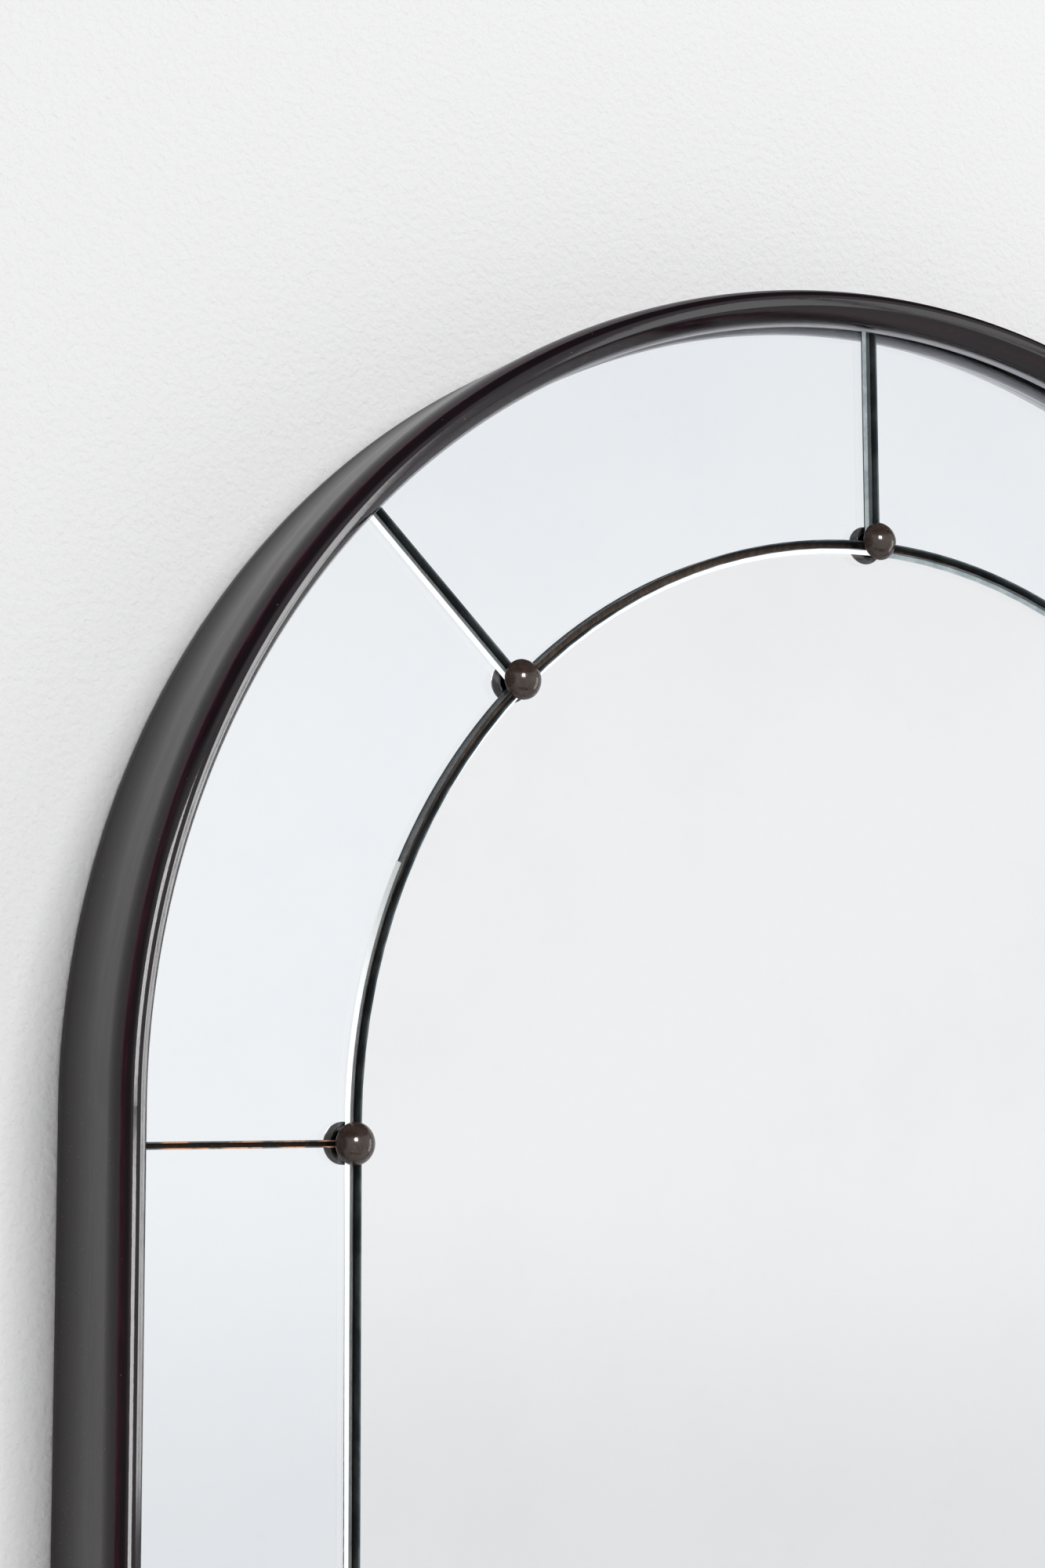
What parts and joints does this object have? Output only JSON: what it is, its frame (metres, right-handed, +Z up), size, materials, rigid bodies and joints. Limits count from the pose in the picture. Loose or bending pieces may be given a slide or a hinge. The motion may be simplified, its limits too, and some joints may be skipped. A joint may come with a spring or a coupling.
{
  "type": "arched wall mirror",
  "caption": "Arched wall mirror: deep dark lacquered frame, border of separate mirror panes around a large centre pane, dome studs at the joints, swinging ring hangers behind.",
  "frame": {"origin": "on the wall plane, midway between the two hanger rings, level with the inside top of the raised rings where the wall hooks bear; this is also the springing line of the frame's arch", "axes": "+X to the right as seen from the room, +Y into the wall, +Z up; the glass faces -Y"},
  "size_m": [0.762, 0.079, 1.143],
  "materials": {
    "frame_lacquer": "near-black espresso lacquer, satin, rubbed through to red-brown along the arrises",
    "mirror_glass": "silvered behind, polished in front, ground arrises",
    "stud_bronze": "dark bronze-brown, polished",
    "washer_rubber": "matt black",
    "gasket_rubber": "matt dark brown",
    "pad_foam": "matt foam",
    "brown_board": "brown hardboard",
    "batten_wood": "planed softwood",
    "dowel_wood": "fluted hardwood dowel",
    "zinc_steel": "zinc plated",
    "hanger_steel": "zinc plated"
  },
  "bodies": {
    "mirror": {"backing_board": "brown_board", "batten_arch_left": "batten_wood", "batten_arch_right": "batten_wood", "batten_bottom": "batten_wood", "batten_screws": "zinc_steel", "batten_side_left": "batten_wood", "batten_side_right": "batten_wood", "border_pane_crown_left": "mirror_glass", "border_pane_crown_right": "mirror_glass", "border_pane_foot": "mirror_glass", "border_pane_shoulder_left": "mirror_glass", "border_pane_shoulder_right": "mirror_glass", "border_pane_side_left": "mirror_glass", "border_pane_side_right": "mirror_glass", "centre_pane": "mirror_glass", "frame_arch_left": "frame_lacquer", "frame_arch_right": "frame_lacquer", "frame_bottom_rail": "frame_lacquer", "frame_stile_left": "frame_lacquer", "frame_stile_right": "frame_lacquer", "glazing_gasket": "gasket_rubber", "hanger_screws": "zinc_steel", "hanger_strap_left": "hanger_steel", "hanger_strap_right": "hanger_steel", "joint_dowels": "dowel_wood", "mirror_pads": "pad_foam", "mitre_dowels": "dowel_wood", "stud_crown": "stud_bronze", "stud_foot_left": "stud_bronze", "stud_foot_right": "stud_bronze", "stud_nuts": "zinc_steel", "stud_plate_washers": "zinc_steel", "stud_shoulder_left": "stud_bronze", "stud_shoulder_right": "stud_bronze", "stud_soft_washers": "washer_rubber", "stud_spring_left": "stud_bronze", "stud_spring_right": "stud_bronze"},
    "ring_left": {"hanger_ring_left": "hanger_steel"},
    "ring_right": {"hanger_ring_right": "hanger_steel"}
  },
  "joints": [
    {"name": "ring_left_swing", "type": "hinge", "parent": "mirror", "child": "ring_left", "pos_m": [-0.357, -0.01055, -0.0164], "axis": [-1, 0, 0], "range_deg": [-80, 180]},
    {"name": "ring_right_swing", "type": "hinge", "parent": "mirror", "child": "ring_right", "pos_m": [0.357, -0.01055, -0.0164], "axis": [-1, 0, 0], "range_deg": [-80, 180]}
  ]
}
